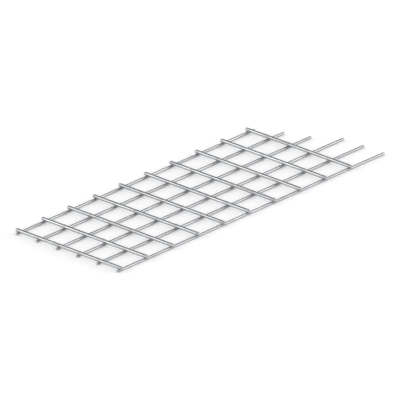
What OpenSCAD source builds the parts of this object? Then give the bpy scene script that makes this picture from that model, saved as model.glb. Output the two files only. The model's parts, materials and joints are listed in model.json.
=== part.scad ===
// Rack cable guide: a flat grid of steel wire, welded wherever a cross wire
// lies on a long wire, then zinc plated. Cables run along the grid and are
// tied to its wires. All sizes are in millimetres.
//
// The grid lies flat: X runs along the long wires, Y along the cross wires, Z up.
// The origin is the middle of the outline, on the surface that the grid lies on.

/* [Cross wires] */
// Diameter of the cross wires, which lie on top
cross_d = 5; // [2.5:0.1:8]
// Number of cross wires
cross_count = 10; // [2:1:20]
// Pitch of the cross wires along the grid
cross_pitch = 50; // [20:1:100]
// How far a cross wire runs past the axis of the outermost long wire
cross_overhang = 5; // [4:0.5:20]

/* [Long wires] */
// Diameter of the long wires, which lie underneath
long_d = 3.8; // [2:0.1:6]
// Number of long wires
long_count = 6; // [4:1:12]
// Pitch of the long wires across the grid
long_pitch = 36; // [20:1:80]
// How far the long wires run past the axis of the first cross wire
near_overhang = 5; // [4:0.5:20]

/* [Far end] */
// Free length of a full stub, from the axis of the last cross wire to its tip
stub_full = 70; // [50:1:120]
// Free lengths of the stubs that are trimmed back, from the left edge inwards
stub_trimmed = [13, 31, 45]; // [8:1:50]

/* [Welds] */
// How deep the weld presses a cross wire into a long wire
weld_sink = 0.4; // [0.1:0.05:0.8]

/* [Hidden] */

// Smoothness of the wires
wire_fn = 48;

// Free length of each long wire past the last cross wire, from the left edge
stubs = [
    for (j = [0 : long_count - 1])
        j < len(stub_trimmed) ? stub_trimmed[j] : stub_full
];

// Heights of the wire axes above the surface
long_z = long_d / 2;
cross_z = long_d - weld_sink + cross_d / 2;

// Outline of the grid
grid_l = near_overhang + (cross_count - 1) * cross_pitch + max(stubs);
cross_l = (long_count - 1) * long_pitch + 2 * cross_overhang;

near_x = -grid_l / 2;
first_x = near_x + near_overhang;
last_x = first_x + (cross_count - 1) * cross_pitch;
left_y = (long_count - 1) * long_pitch / 2;

// Straight wire along +Z from its lower tip at the origin, with domed ends
module wire(d, l) {
    r = d / 2;
    rotate_extrude($fn = wire_fn)
        union() {
            translate([0, r]) square([r, l - d]);
            for (end_z = [r, l - r])
                translate([0, end_z])
                    intersection() {
                        circle(r, $fn = wire_fn);
                        translate([0, -r]) square([r, d]);
                    }
        }
}

// Cross wire i, counted from the near end
module cross_wire(i) {
    translate([first_x + i * cross_pitch, -cross_l / 2, cross_z])
        rotate([-90, 0, 0])
            wire(cross_d, cross_l);
}

// Long wire j, counted from the left edge
module long_wire(j) {
    translate([near_x, left_y - j * long_pitch, long_z])
        rotate([0, 90, 0])
            wire(long_d, last_x - near_x + stubs[j]);
}

// The whole grid: every cross wire is welded to every long wire
module wire_grid() {
    color("silver")
        union() {
            for (i = [0 : cross_count - 1]) cross_wire(i);
            for (j = [0 : long_count - 1]) long_wire(j);
        }
}

wire_grid();
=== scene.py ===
import json
import math

import bpy
import numpy as np
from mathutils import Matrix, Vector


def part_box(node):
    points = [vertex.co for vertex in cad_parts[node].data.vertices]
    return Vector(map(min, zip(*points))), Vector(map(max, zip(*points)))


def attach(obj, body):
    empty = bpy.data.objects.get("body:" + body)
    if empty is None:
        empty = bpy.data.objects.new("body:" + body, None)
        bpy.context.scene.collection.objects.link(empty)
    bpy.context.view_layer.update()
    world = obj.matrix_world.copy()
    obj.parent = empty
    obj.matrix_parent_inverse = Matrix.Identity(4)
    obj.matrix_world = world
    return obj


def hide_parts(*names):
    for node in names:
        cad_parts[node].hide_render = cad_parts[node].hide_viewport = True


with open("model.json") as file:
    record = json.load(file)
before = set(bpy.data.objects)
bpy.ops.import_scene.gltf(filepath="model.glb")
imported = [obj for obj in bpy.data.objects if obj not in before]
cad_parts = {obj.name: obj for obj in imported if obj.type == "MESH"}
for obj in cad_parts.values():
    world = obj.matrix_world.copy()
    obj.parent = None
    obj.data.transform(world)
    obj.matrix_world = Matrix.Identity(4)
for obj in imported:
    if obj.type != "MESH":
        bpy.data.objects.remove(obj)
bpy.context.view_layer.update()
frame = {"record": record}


# The long wires are six lengths of drawn steel wire that lie side by side on the floor, zinc plated with
# the rest. They are cut to length and rounded at the ends, and at the far end three of them are trimmed
# back in steps. The lower electrode of the welding press has left a small flat under every crossing.
mounts = {mount["name"]: mount for mount in frame["record"]["mounts"]}
grid_low, grid_high = (np.array(corner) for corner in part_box("wire_grid"))


def stated(mount, size):
    """A size that the record gives for a mount, in metres."""
    return mounts[mount]["dims"][size] / 1000


# The mounts of the outermost wires lie on their outer sides. The stated length of an edge wire is what
# shows between two cross wires, and that of a stub goes from the last cross wire to its domed tip.
long_r = stated("far_stubs", "stud_r_mm")
long_pitch = stated("far_stubs", "spacing_y_mm")
left_y = mounts["left_edge_wire"]["pos_m"][1] - long_r
right_y = mounts["right_edge_wire"]["pos_m"][1] + long_r
long_count = 1 + round((left_y - right_y) / long_pitch)
long_y = left_y - long_pitch * np.arange(long_count)
long_z = grid_low[2] + long_r
long_way = np.array([1.0, 0.0, 0.0])

cross_r = stated("near_cross_wire", "r_mm")
cross_pitch = stated("left_edge_wire", "length_mm") + 2 * cross_r
first_x = mounts["near_cross_wire"]["pos_m"][0] + cross_r
last_x = grid_high[0] - long_r - stated("far_stubs", "length_mm") - cross_r
cross_count = 1 + round((last_x - first_x) / cross_pitch)
cross_x = first_x + cross_pitch * np.arange(cross_count)

# From the axis of the last cross wire to the tips of the trimmed wires, starting at the left edge
trimmed_stubs = (0.013, 0.031, 0.045)
long_sides = 40
long_flat = 0.00012
long_seed = 20
flat_half_length = 0.0022
ring_step = 0.006
ring_digits = 5
weld_reach = 0.0045
weld_ring_step = 0.0005
dome_rings = 9
stray = 0.00005
stray_waves = np.array([[0.061], [0.023]])
up = np.array([0.0, 0.0, 1.0])


def ring_places(length, radius, welds):
    """Places of the rings along a wire: r - r * cos of equal angles over each domed end, close together
    at every weld, and evenly spread between."""
    angles = np.linspace(0, math.pi / 2, dome_rings)
    dome = radius * (1 - np.cos(angles))
    plain = np.arange(radius, length - radius, ring_step)
    near = np.arange(-weld_reach, weld_reach, weld_ring_step)
    at_welds = (welds[:, None] + near).ravel()
    at_welds = at_welds[(at_welds > radius) & (at_welds < length - radius)]
    places = np.concatenate([dome, plain, at_welds, length - dome])
    return np.unique(np.round(places, ring_digits))


def shown_piece(name, points, faces):
    """A smooth mesh of those points and faces, which stands for the grid and is part of it."""
    mesh = bpy.data.meshes.new(name)
    mesh.from_pydata(points, [], faces)
    mesh.polygons.foreach_set("use_smooth", np.ones(len(faces), bool))
    mesh.validate()
    piece = bpy.data.objects.new(name, mesh)
    bpy.context.scene.collection.objects.link(piece)
    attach(piece, "root")
    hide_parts("wire_grid")
    return piece


def wire_piece(name, tip, way, length, radius, sides, welds, flat, flat_side, seed):
    """A drawn wire as a surface of two parameters, s along it and a round it.

    The axis is tip + way * s, and strays sideways by two slow sines. The radius is the wire's own, and
    over each end sqrt(r^2 - (r - s)^2), a dome. Towards the electrode the surface is cut off at
    r - flat * exp(-((s - weld) / half length)^4), a short flat with soft ends. Every point knows how
    near a weld it is, as exp(-(gap / reach)^2). flat_side is 1 for an electrode above and -1 for one below.
    """
    s = ring_places(length, radius, welds)
    side = np.cross(up, way)
    size, phase = np.random.default_rng(seed).uniform(-1, 1, (2, *stray_waves.shape))
    waver = stray * (size * np.sin(s / stray_waves + math.pi * phase)).sum(axis=0)
    axis = tip + np.outer(s, way) + np.outer(waver, side)
    inset = radius - np.minimum(np.minimum(s, length - s), radius)
    ring_r = np.sqrt(np.maximum(radius ** 2 - inset ** 2, 0))
    from_weld = s[:, None] - welds
    press = np.exp(-(from_weld / flat_half_length) ** 4).max(axis=1)
    heat = np.exp(-(from_weld / weld_reach) ** 2).max(axis=1)

    a = np.linspace(0, 2 * math.pi, sides, endpoint=False)
    rings = slice(1, -1)
    out = ring_r[rings, None] * np.cos(a)
    high = ring_r[rings, None] * np.sin(a) * flat_side
    high = np.minimum(high, (radius - flat * press)[rings, None]) * flat_side
    body = axis[rings, None, :] + out[..., None] * side + high[..., None] * up
    points = np.concatenate([body.reshape(-1, 3), axis[[0, -1]]])

    count = len(s) - 2
    index = np.arange(count * sides).reshape(count, sides)
    turned = np.roll(index, -1, axis=1)
    near_pole, far_pole = count * sides, count * sides + 1
    quads = np.stack([index[:-1], turned[:-1], turned[1:], index[1:]], axis=-1).reshape(-1, 4)
    near_fan = np.stack([np.full(sides, near_pole), turned[0], index[0]], axis=-1)
    far_fan = np.stack([np.full(sides, far_pole), index[-1], turned[-1]], axis=-1)
    piece = shown_piece(name, points, quads.tolist() + near_fan.tolist() + far_fan.tolist())
    near_weld = np.concatenate([np.repeat(heat[rings], sides), heat[[0, -1]]])
    piece.data.attributes.new("near_weld", "FLOAT", "POINT").data.foreach_set("value", near_weld)
    return piece


node_step = 220


def feed(tree, socket, value):
    """Links an input to the output of another node, or sets it where the value is a plain one."""
    if isinstance(value, bpy.types.NodeSocket):
        tree.links.new(value, socket)
    else:
        socket.default_value = value


def add(tree, kind, *ordered, **named):
    """A shader node of that kind, to the right of the ones before it. Named are its settings and those
    of its inputs that are fed by name, and ordered are the inputs that are fed in their order."""
    node = tree.nodes.new(kind)
    node.location.x = node_step * len(tree.nodes)
    for name, value in named.items():
        if hasattr(node, name):
            setattr(node, name, value)
        else:
            feed(tree, node.inputs[name], value)
    for socket, value in zip(node.inputs, ordered):
        feed(tree, socket, value)
    return node


def maths(tree, operation, *values):
    """The result of one operation on those values."""
    return add(tree, "ShaderNodeMath", *values, operation=operation).outputs["Value"]


def mixed(tree, kind, share, first, second):
    """Goes from the first number or colour to the second as the share goes from 0 to 1."""
    return add(tree, "ShaderNodeMix", data_type=kind, Factor=share, A=first, B=second).outputs["Result"]


def spread(tree, value, edge, low=0.0, high=1.0, **settings):
    """Goes from low to high as the value passes from one edge to the other, and stays level beyond."""
    limits = {"From Min": edge[0], "From Max": edge[1], "To Min": low, "To Max": high}
    return add(tree, "ShaderNodeMapRange", Value=value, **limits, **settings).outputs["Result"]


def noise(tree, place, scale, detail, roughness):
    """Soft noise that strays both ways from a half, with that many waves to the metre."""
    return add(
        tree, "ShaderNodeTexNoise", Vector=place, Scale=scale, Detail=detail,
        Roughness=roughness).outputs["Fac"]


def effect_group(name, place, effects):
    """A shader node group with an input for a place and an output for each effect, and that place as the
    nodes inside the group read it."""
    group = bpy.data.node_groups.new(name, "ShaderNodeTree")
    group.interface.new_socket(place, in_out="INPUT", socket_type="NodeSocketVector")
    for effect in effects:
        group.interface.new_socket(effect, in_out="OUTPUT", socket_type="NodeSocketFloat")
    return group, add(group, "NodeGroupInput").outputs[place]


# Drawing lines: noise with a grain of a fifth of a millimetre, stretched a long way along X, the
# direction that the wire was pulled through the die, and broader streaks where the die was scored
groove_stretch = (4.0, 5000.0, 5000.0)
streak_stretch = (14.0, 1700.0, 1700.0)
streak_edge = (0.36, 0.64)
lines_group, place = effect_group("drawing_lines", "Along", ["Lines", "Streaks"])
pulled = add(lines_group, "ShaderNodeMapping", Vector=place, Scale=groove_stretch).outputs["Vector"]
grooves = noise(lines_group, pulled, scale=1.0, detail=2.0, roughness=0.6)
scored = add(lines_group, "ShaderNodeMapping", Vector=place, Scale=streak_stretch).outputs["Vector"]
streaks = noise(lines_group, scored, scale=1.0, detail=1.0, roughness=0.5)
add(lines_group, "NodeGroupOutput", Lines=grooves, Streaks=spread(lines_group, streaks, streak_edge))

# Zinc bloom: duller patches about 20 mm long, wider ones where the passivation has a straw tint, and
# the fine grain of the zinc crystals
cloud_scale = 55.0
cloud_edge = (0.34, 0.66)
tint_scale = 17.0
tint_edge = (0.48, 0.7)
grain_scale = 4200.0
bloom_group, place = effect_group("zinc_bloom", "Vector", ["Cloud", "Tint", "Grain"])
cloud = noise(bloom_group, place, cloud_scale, detail=5.0, roughness=0.6)
tint = noise(bloom_group, place, tint_scale, detail=2.0, roughness=0.5)
grain = noise(bloom_group, place, grain_scale, detail=2.0, roughness=0.5)
add(bloom_group, "NodeGroupOutput", Cloud=spread(bloom_group, cloud, cloud_edge),
    Tint=spread(bloom_group, tint, tint_edge), Grain=grain)

bright_zinc = (0.47, 0.485, 0.505, 1.0)
dull_zinc = (0.35, 0.362, 0.38, 1.0)
straw_zinc = (0.43, 0.43, 0.415, 1.0)
weld_zinc = (0.38, 0.386, 0.396, 1.0)
bright_roughness = 0.17
dull_roughness = 0.4
weld_added_roughness = 0.14
streak_share = 0.45
streak_relief = 0.6
grain_relief = 0.15
line_strength = 0.55
line_depth = 0.00004
none_to_all = (0.0, 1.0)


def metal_finish(name):
    """A new material that is metal all over, with its nodes and its shader."""
    finish = bpy.data.materials.new(name)
    finish.use_nodes = True
    shader = finish.node_tree.nodes["Principled BSDF"]
    shader.inputs["Metallic"].default_value = 1.0
    return finish, finish.node_tree, shader


def zinc_wire_finish(name, turn):
    """Zinc plating on drawn wire: bright metal with dull and straw-coloured patches, drawing lines and
    streaks along the wire, and a ring round every weld that is darker and more matt. turn is the angle
    that brings the wire's direction to X."""
    finish, tree, shader = metal_finish(name)
    place = add(tree, "ShaderNodeTexCoord").outputs["Object"]
    along = add(tree, "ShaderNodeMapping", Vector=place, Rotation=(0.0, 0.0, turn)).outputs["Vector"]
    lines = add(tree, "ShaderNodeGroup", node_tree=lines_group, Along=along).outputs
    bloom = add(tree, "ShaderNodeGroup", node_tree=bloom_group, Vector=place).outputs
    weld = add(tree, "ShaderNodeAttribute", attribute_name="near_weld").outputs["Fac"]
    dullness = mixed(tree, "FLOAT", streak_share, bloom["Cloud"], lines["Streaks"])
    plate = mixed(tree, "RGBA", dullness, bright_zinc, dull_zinc)
    tinted = mixed(tree, "RGBA", bloom["Tint"], plate, straw_zinc)
    welded = mixed(tree, "RGBA", weld, tinted, weld_zinc)
    patchy = spread(tree, dullness, none_to_all, bright_roughness, dull_roughness)
    matt = maths(tree, "MULTIPLY_ADD", weld, weld_added_roughness, patchy)
    scores = maths(tree, "MULTIPLY_ADD", lines["Streaks"], streak_relief, lines["Lines"])
    relief = maths(tree, "MULTIPLY_ADD", bloom["Grain"], grain_relief, scores)
    bump = add(tree, "ShaderNodeBump", Height=relief, Strength=line_strength, Distance=line_depth)
    feed(tree, shader.inputs["Base Color"], welded)
    feed(tree, shader.inputs["Roughness"], matt)
    feed(tree, shader.inputs["Normal"], bump.outputs["Normal"])
    return finish


long_finish = zinc_wire_finish("zinc_on_long_wire", 0.0)
for j in range(long_count):
    stub_end = last_x + trimmed_stubs[j] if j < len(trimmed_stubs) else grid_high[0]
    wire = wire_piece(
        f"long_wire_{j + 1}", tip=np.array([grid_low[0], long_y[j], long_z]), way=long_way,
        length=stub_end - grid_low[0], radius=long_r, sides=long_sides, welds=cross_x - grid_low[0],
        flat=long_flat, flat_side=-1, seed=long_seed + j)
    wire.data.materials.append(long_finish)


# The cross wires are ten thicker lengths of the same drawn wire, laid over the long wires and welded
# to each of them. The upper electrode has pressed a small flat into the top of every crossing.
cross_sides = 48
cross_flat = 0.00016
cross_seed = 60
cross_z = mounts["near_cross_wire"]["pos_m"][2]
cross_length = grid_high[1] - grid_low[1]
cross_way = np.array([0.0, 1.0, 0.0])

cross_finish = zinc_wire_finish("zinc_on_cross_wire", math.pi / 2)
for i in range(cross_count):
    wire = wire_piece(
        f"cross_wire_{i + 1}", tip=np.array([cross_x[i], grid_low[1], cross_z]), way=cross_way,
        length=cross_length, radius=cross_r, sides=cross_sides, welds=long_y[::-1] - grid_low[1],
        flat=cross_flat, flat_side=1, seed=cross_seed + i)
    wire.data.materials.append(cross_finish)


# The weld beads are the little rims of steel that each weld has squeezed out between the two wires, and
# that are plated over with the rest. One uneven rim goes right round every crossing.
bead_around = 32
bead_section = 12
bead_in = 0.8
bead_out = 1.46
bead_uneven = 0.12
bead_waves = np.array([2, 3, 5])
bead_seed = 7
bead_sink = 0.00008
bead_fullness = 0.35
long_top = long_z + long_r
cross_bottom = cross_z - cross_r
weld_half_x = math.sqrt(cross_r ** 2 - (cross_z - long_top) ** 2)
weld_half_y = math.sqrt(long_r ** 2 - (cross_bottom - long_z) ** 2)

# A rim is a closed section, v, carried round the ellipse of the weld, u. It reaches from inside the metal
# to a nose that wavers by a few slow waves. At each place its upper and lower face follow the underside
# of the cross wire and the top of the long wire, and |sin v| to a small power rounds the nose off.
centre_x, centre_y = (grid.reshape(-1, 1, 1) for grid in np.meshgrid(cross_x, long_y))
u = np.linspace(0, 2 * math.pi, bead_around, endpoint=False)
v = np.linspace(0, 2 * math.pi, bead_section, endpoint=False)
turns = np.outer(bead_waves, u)
wave_size = np.random.default_rng(bead_seed).uniform(-1, 1, (2, len(centre_x), len(bead_waves)))
lumps = (wave_size[0] @ np.sin(turns) + wave_size[1] @ np.cos(turns)) / len(bead_waves)
nose = bead_out * (1 + bead_uneven * lumps)[:, :, None]
share = bead_in + (nose - bead_in) * (1 + np.cos(v)) / 2
from_x = weld_half_x * np.cos(u)[:, None] * share
from_y = weld_half_y * np.sin(u)[:, None] * share
above = cross_z - np.sqrt(cross_r ** 2 - from_x ** 2)
below = long_z + np.sqrt(long_r ** 2 - from_y ** 2)
half_gap = np.maximum((above - below) / 2, 0) + bead_sink
bead_z = (above + below) / 2 + half_gap * np.sign(np.sin(v)) * np.abs(np.sin(v)) ** bead_fullness
bead_points = np.stack([centre_x + from_x, centre_y + from_y, bead_z], axis=-1).reshape(-1, 3)
index = np.arange(len(bead_points)).reshape(share.shape)
next_u = np.roll(index, -1, axis=1)
next_v = np.roll(index, -1, axis=2)
next_both = np.roll(next_u, -1, axis=2)
bead_faces = np.stack([index, next_u, next_both, next_v], axis=-1).reshape(-1, 4)
weld_beads = shown_piece("weld_beads", bead_points, bead_faces.tolist())

pale_bead = (0.44, 0.447, 0.458, 1.0)
dark_bead = (0.31, 0.314, 0.32, 1.0)
pale_bead_roughness = 0.34
dark_bead_roughness = 0.48
bead_grain_strength = 0.5
bead_grain_depth = 0.0001
bead_finish, tree, shader = metal_finish("zinc_on_weld_bead")
place = add(tree, "ShaderNodeTexCoord").outputs["Object"]
bloom = add(tree, "ShaderNodeGroup", node_tree=bloom_group, Vector=place).outputs
mottled = mixed(tree, "RGBA", bloom["Cloud"], pale_bead, dark_bead)
patchy = spread(tree, bloom["Cloud"], none_to_all, pale_bead_roughness, dark_bead_roughness)
bump = add(
    tree, "ShaderNodeBump", Height=bloom["Grain"], Strength=bead_grain_strength, Distance=bead_grain_depth)
feed(tree, shader.inputs["Base Color"], mottled)
feed(tree, shader.inputs["Roughness"], patchy)
feed(tree, shader.inputs["Normal"], bump.outputs["Normal"])
weld_beads.data.materials.append(bead_finish)


# The floor is a wide white studio sweep that the grid lies on. The camera and the metal see it a
# little brighter than it is lit, so that it goes to white and still takes the grid's shadow.
floor_half = 20.0
floor_paint_white = (0.8, 0.8, 0.8, 1.0)
floor_roughness = 0.9
floor_lift = 0.2
full_white = (1.0, 1.0, 1.0, 1.0)
floor_corners = floor_half * np.array([(-1, -1, 0), (1, -1, 0), (1, 1, 0), (-1, 1, 0)], float)
floor_corners[:, 2] = grid_low[2]
floor_mesh = bpy.data.meshes.new("studio_floor")
floor_mesh.from_pydata(floor_corners, [], [(0, 1, 2, 3)])
studio_floor = bpy.data.objects.new("studio_floor", floor_mesh)
bpy.context.scene.collection.objects.link(studio_floor)

floor_paint = bpy.data.materials.new("white_floor")
floor_paint.use_nodes = True
tree = floor_paint.node_tree
shader = tree.nodes["Principled BSDF"]
shader.inputs["Base Color"].default_value = floor_paint_white
shader.inputs["Roughness"].default_value = floor_roughness
shader.inputs["Specular IOR Level"].default_value = 0.0
shader.inputs["Emission Color"].default_value = full_white
rays = add(tree, "ShaderNodeLightPath").outputs
seen = maths(tree, "MAXIMUM", rays["Is Camera Ray"], rays["Is Glossy Ray"])
seen = maths(tree, "MAXIMUM", seen, rays["Is Transmission Ray"])
feed(tree, shader.inputs["Emission Strength"], maths(tree, "MULTIPLY", seen, floor_lift))
floor_mesh.materials.append(floor_paint)


# The light comes from soft boxes in a dim studio, far enough off to light the whole floor evenly: one
# overhead, a tall bank at the viewer's left, right and back, which the wires mirror as bright streaks
# between darker edges, and a low strip beyond the far corner.
diagonal = math.sqrt(0.5)
wall_tone = 0.08
sweep_tone = 1.0
sweep_edge = (0.03, 0.06)
overhead_tone = 2.1
overhead_edge = (0.92, 0.96)
bank_tone = 3.1
bank_side = (-diagonal, diagonal, 0.0)
bank_edge = (0.5, 0.9)
bank_foot = (0.12, 0.2)
rear_tone = 2.6
rear_side = (-diagonal, -diagonal, 0.0)
rear_edge = (0.7, 0.9)
strip_tone = 2.0
strip_side = (diagonal, diagonal, 0.0)
strip_edge = (0.8, 0.9)
strip_foot = (0.08, 0.12)
strip_top = (0.28, 0.36)
room = bpy.data.worlds.new("studio_room")
bpy.context.scene.world = room
room.use_nodes = True
tree = room.node_tree
way_out = add(tree, "ShaderNodeTexCoord").outputs["Generated"]
height = add(tree, "ShaderNodeSeparateXYZ", Vector=way_out).outputs["Z"]


def turned_to(side):
    """How far the way out points to that side, from 1 right at it to -1 straight away from it."""
    return add(tree, "ShaderNodeVectorMath", way_out, side, operation="DOT_PRODUCT").outputs["Value"]


def faded(value, edge, before, after):
    """Goes softly from one tone to another as the value passes the edge."""
    return spread(tree, value, edge, before, after, interpolation_type="SMOOTHSTEP")


walls = faded(height, sweep_edge, sweep_tone, wall_tone)
overhead = faded(height, overhead_edge, 0.0, overhead_tone)
over_foot = faded(height, bank_foot, 0.0, 1.0)
to_either_side = maths(tree, "ABSOLUTE", turned_to(bank_side))
side_banks = maths(tree, "MULTIPLY", over_foot, faded(to_either_side, bank_edge, 0.0, bank_tone))
rear_bank = maths(tree, "MULTIPLY", over_foot, faded(turned_to(rear_side), rear_edge, 0.0, rear_tone))
far_strip = faded(turned_to(strip_side), strip_edge, 0.0, strip_tone)
far_strip = maths(tree, "MULTIPLY", far_strip, faded(height, strip_foot, 0.0, 1.0))
far_strip = maths(tree, "MULTIPLY", far_strip, faded(height, strip_top, 1.0, 0.0))
room_light = walls
for soft_box in (overhead, side_banks, rear_bank, far_strip):
    room_light = maths(tree, "ADD", room_light, soft_box)
background = tree.nodes["Background"]
background.inputs["Color"].default_value = full_white
feed(tree, background.inputs["Strength"], room_light)


# The camera stands far off beyond the near left corner and looks down on the grid, through a lens so
# long that the view is nearly parallel. Its aim sets the grid's place in the picture.
camera_azimuth = math.radians(-47.708)
camera_elevation = math.radians(23.643)
camera_distance = 23.488
camera_aim_right = -0.00146
camera_aim_up = -0.00672
camera_lens = bpy.data.cameras.new("camera")
camera_lens.lens = 1600.0
camera_lens.sensor_width = 36.0
camera_lens.clip_start = 1.0
camera_lens.clip_end = 60.0
camera = bpy.data.objects.new("camera", camera_lens)
bpy.context.scene.collection.objects.link(camera)
to_camera = np.array([
    math.sin(camera_azimuth) * math.cos(camera_elevation),
    -math.cos(camera_azimuth) * math.cos(camera_elevation),
    math.sin(camera_elevation),
])
to_right = np.array([math.cos(camera_azimuth), math.sin(camera_azimuth), 0.0])
to_top = np.cross(to_camera, to_right)
camera.location = to_camera * camera_distance + to_right * camera_aim_right + to_top * camera_aim_up
camera.rotation_euler = (math.pi / 2 - camera_elevation, 0.0, camera_azimuth)
bpy.context.scene.camera = camera
bpy.context.scene.view_settings.view_transform = "Standard"
